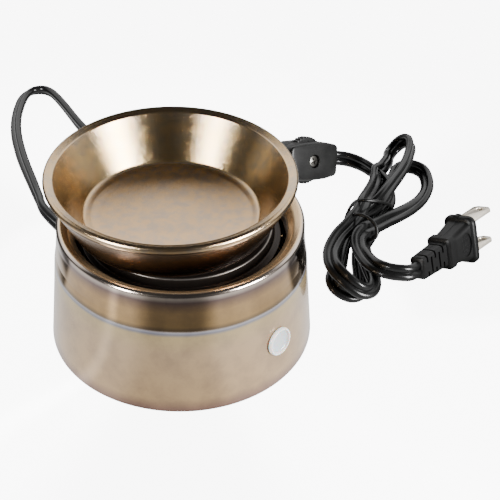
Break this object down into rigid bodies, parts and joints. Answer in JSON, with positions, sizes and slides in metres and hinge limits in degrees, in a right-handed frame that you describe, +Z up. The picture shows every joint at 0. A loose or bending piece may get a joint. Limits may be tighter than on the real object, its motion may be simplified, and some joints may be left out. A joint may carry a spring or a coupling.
{
  "type": "ceramic wax warmer",
  "caption": "Round glazed ceramic wax warmer with a lift-off dish over an electric hot plate, an indicator lens, and a cord with a thumb-wheel switch and a two-pin plug.",
  "frame": {"origin": "on the table plane, under the middle of the round base, which rests on its feet", "axes": "+Z up; the indicator lens faces -Y and the cord leaves the base towards +Y"},
  "size_m": [0.1988, 0.2282, 0.0678],
  "materials": {
    "bronze_glaze": "glossy metallic bronze glaze",
    "aluminium": "satin turned aluminium",
    "zinc_steel": "zinc-plated steel",
    "mica": "bonded mica sheet, dull",
    "silicone": "dark silicone",
    "lens_plastic": "translucent bluish white",
    "black_plastic": "moulded black plastic, satin",
    "black_rubber": "black rubber",
    "cord_black": "black flexible cord jacket, satin",
    "wire_sleeve": "white glass-fibre sleeve",
    "nickel": "nickel plate"
  },
  "bodies": {
    "base": {"ceramic_base": "bronze_glaze", "hot_plate": "aluminium", "plate_gasket": "silicone", "heater_element": "mica", "heater_insulator": "wire_sleeve", "clamp_spider": "zinc_steel", "clamp_washer": "zinc_steel", "clamp_nut": "zinc_steel", "thermal_fuse": "nickel", "fuse_clip": "zinc_steel", "fuse_lead": "wire_sleeve", "fuse_link": "nickel", "heater_lead": "wire_sleeve", "standoff_1": "zinc_steel", "standoff_2": "zinc_steel", "standoff_3": "zinc_steel", "bottom_cover": "black_plastic", "cover_screw_1": "zinc_steel", "cover_screw_2": "zinc_steel", "cover_screw_3": "zinc_steel", "foot_1": "black_rubber", "foot_2": "black_rubber", "foot_3": "black_rubber", "foot_4": "black_rubber", "indicator_lens": "lens_plastic", "lens_retainer": "zinc_steel", "indicator_lamp": "lens_plastic", "lamp_lead_1": "wire_sleeve", "lamp_lead_2": "wire_sleeve", "wire_cap_1": "wire_sleeve", "wire_cap_2": "wire_sleeve", "supply_wire_1": "cord_black", "supply_wire_2": "cord_black", "cord_bush": "black_rubber", "cord_clamp": "black_plastic", "clamp_screw_1": "zinc_steel", "clamp_screw_2": "zinc_steel", "cord_inside": "cord_black", "cord_to_switch": "cord_black", "switch_shell_front": "black_plastic", "switch_shell_back": "black_plastic", "switch_screw": "nickel", "switch_nut": "nickel", "cord_to_hank": "cord_black", "cord_hank": "cord_black", "cord_tie": "black_plastic", "cord_to_plug": "cord_black", "plug_body": "black_plastic", "plug_blade_wide": "nickel", "plug_blade_narrow": "nickel"},
    "dish": {"wax_dish": "bronze_glaze"},
    "switch_wheel": {"switch_wheel": "black_plastic"}
  },
  "joints": [
    {"name": "dish_lift", "type": "slide", "parent": "base", "child": "dish", "axis": [0, 0, 1], "range_m": [0, 0.12]},
    {"name": "wheel_turn", "type": "hinge", "parent": "base", "child": "switch_wheel", "pos_m": [0.101, 0.0258, 0.0121], "axis": [-0.0453, -0.9452, 0.3234], "continuous": true}
  ]
}
